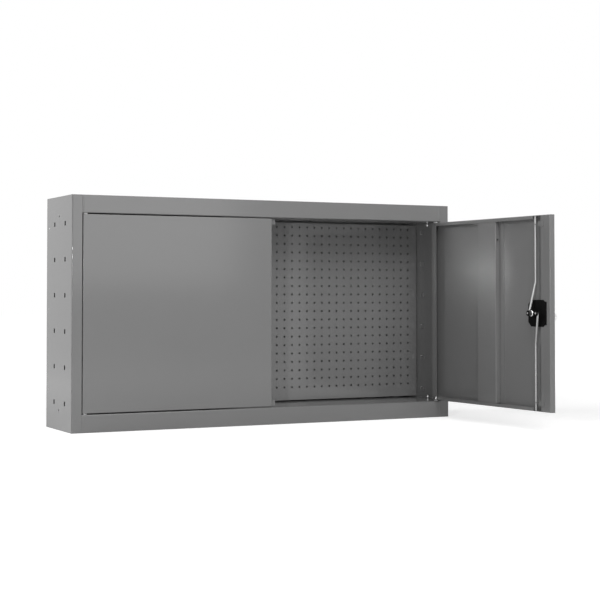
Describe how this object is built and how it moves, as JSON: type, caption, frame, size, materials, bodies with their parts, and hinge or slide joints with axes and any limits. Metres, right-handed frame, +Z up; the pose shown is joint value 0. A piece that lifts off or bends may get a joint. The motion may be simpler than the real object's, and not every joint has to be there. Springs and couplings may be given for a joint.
{
  "type": "tool cabinet with doors",
  "caption": "Wide shallow sheet-steel tool cabinet with two hinged doors, a perforated tool board inside and a rod lock on the right door.",
  "frame": {"origin": "centre of the cabinet's flat rear face", "axes": "+X along the width, to the right as seen from the front; the doors face -Y; +Z up"},
  "size_m": [1.1834, 0.7613, 0.63],
  "materials": {
    "cabinet_paint": "semi-gloss fine-texture powder coat, mid grey",
    "board_paint": "semi-gloss powder coat, mid grey",
    "zinc": "bright zinc plating",
    "black_plastic": "black moulded plastic",
    "chrome": "satin chrome plating",
    "nylon": "natural nylon",
    "dark_steel": "blackened steel"
  },
  "bodies": {
    "cabinet": {"left_side_panel": "cabinet_paint", "right_side_panel": "cabinet_paint", "top_panel": "cabinet_paint", "bottom_panel": "cabinet_paint", "back_panel": "cabinet_paint", "tool_board": "board_paint", "left_side_rivets": "zinc", "right_side_rivets": "zinc", "top_rear_rivets": "zinc", "bottom_rear_rivets": "zinc", "left_hinge_pins": "zinc", "right_hinge_pins": "zinc", "left_hinge_washers": "nylon", "right_hinge_washers": "nylon"},
    "left_door": {"left_door_shell": "cabinet_paint", "left_door_stiffener": "cabinet_paint", "left_door_tabs": "cabinet_paint"},
    "right_door": {"right_door_shell": "cabinet_paint", "right_door_stiffener": "cabinet_paint", "rod_guides": "cabinet_paint", "lock_case": "black_plastic", "handle_rose": "black_plastic"},
    "lock_handle": {"handle_grip": "chrome", "handle_spindle": "zinc", "lock_rotor": "black_plastic", "rotor_cup": "zinc", "rotor_screw": "dark_steel"},
    "upper_rod": {"upper_rod": "zinc"},
    "lower_rod": {"lower_rod": "zinc"}
  },
  "joints": [
    {"name": "left_door_hinge", "type": "hinge", "parent": "cabinet", "child": "left_door", "pos_m": [-0.546, -0.2165, 0], "axis": [0, 0, 1], "range_deg": [-100, 0]},
    {"name": "right_door_hinge", "type": "hinge", "parent": "cabinet", "child": "right_door", "pos_m": [0.546, -0.2165, 0], "axis": [0, 0, 1], "range_deg": [-92.5, 5]},
    {"name": "lock_turn", "type": "hinge", "parent": "right_door", "child": "lock_handle", "pos_m": [0.57597, -0.70816, 0], "axis": [0.999, 0.0436, 0], "range_deg": [0, 90]},
    {"name": "upper_rod_link", "type": "hinge", "parent": "lock_handle", "child": "upper_rod", "pos_m": [0.54476, -0.69251, 0], "axis": [0.999, 0.0436, 0], "range_deg": [-94, 0]},
    {"name": "lower_rod_link", "type": "hinge", "parent": "lock_handle", "child": "lower_rod", "pos_m": [0.54624, -0.72647, 0], "axis": [0.999, 0.0436, 0], "range_deg": [-94, 0]}
  ],
  "couplings": [
    {"joint": "upper_rod_link", "follows": "lock_turn", "ratio": -1.041},
    {"joint": "lower_rod_link", "follows": "lock_turn", "ratio": -1.041}
  ]
}
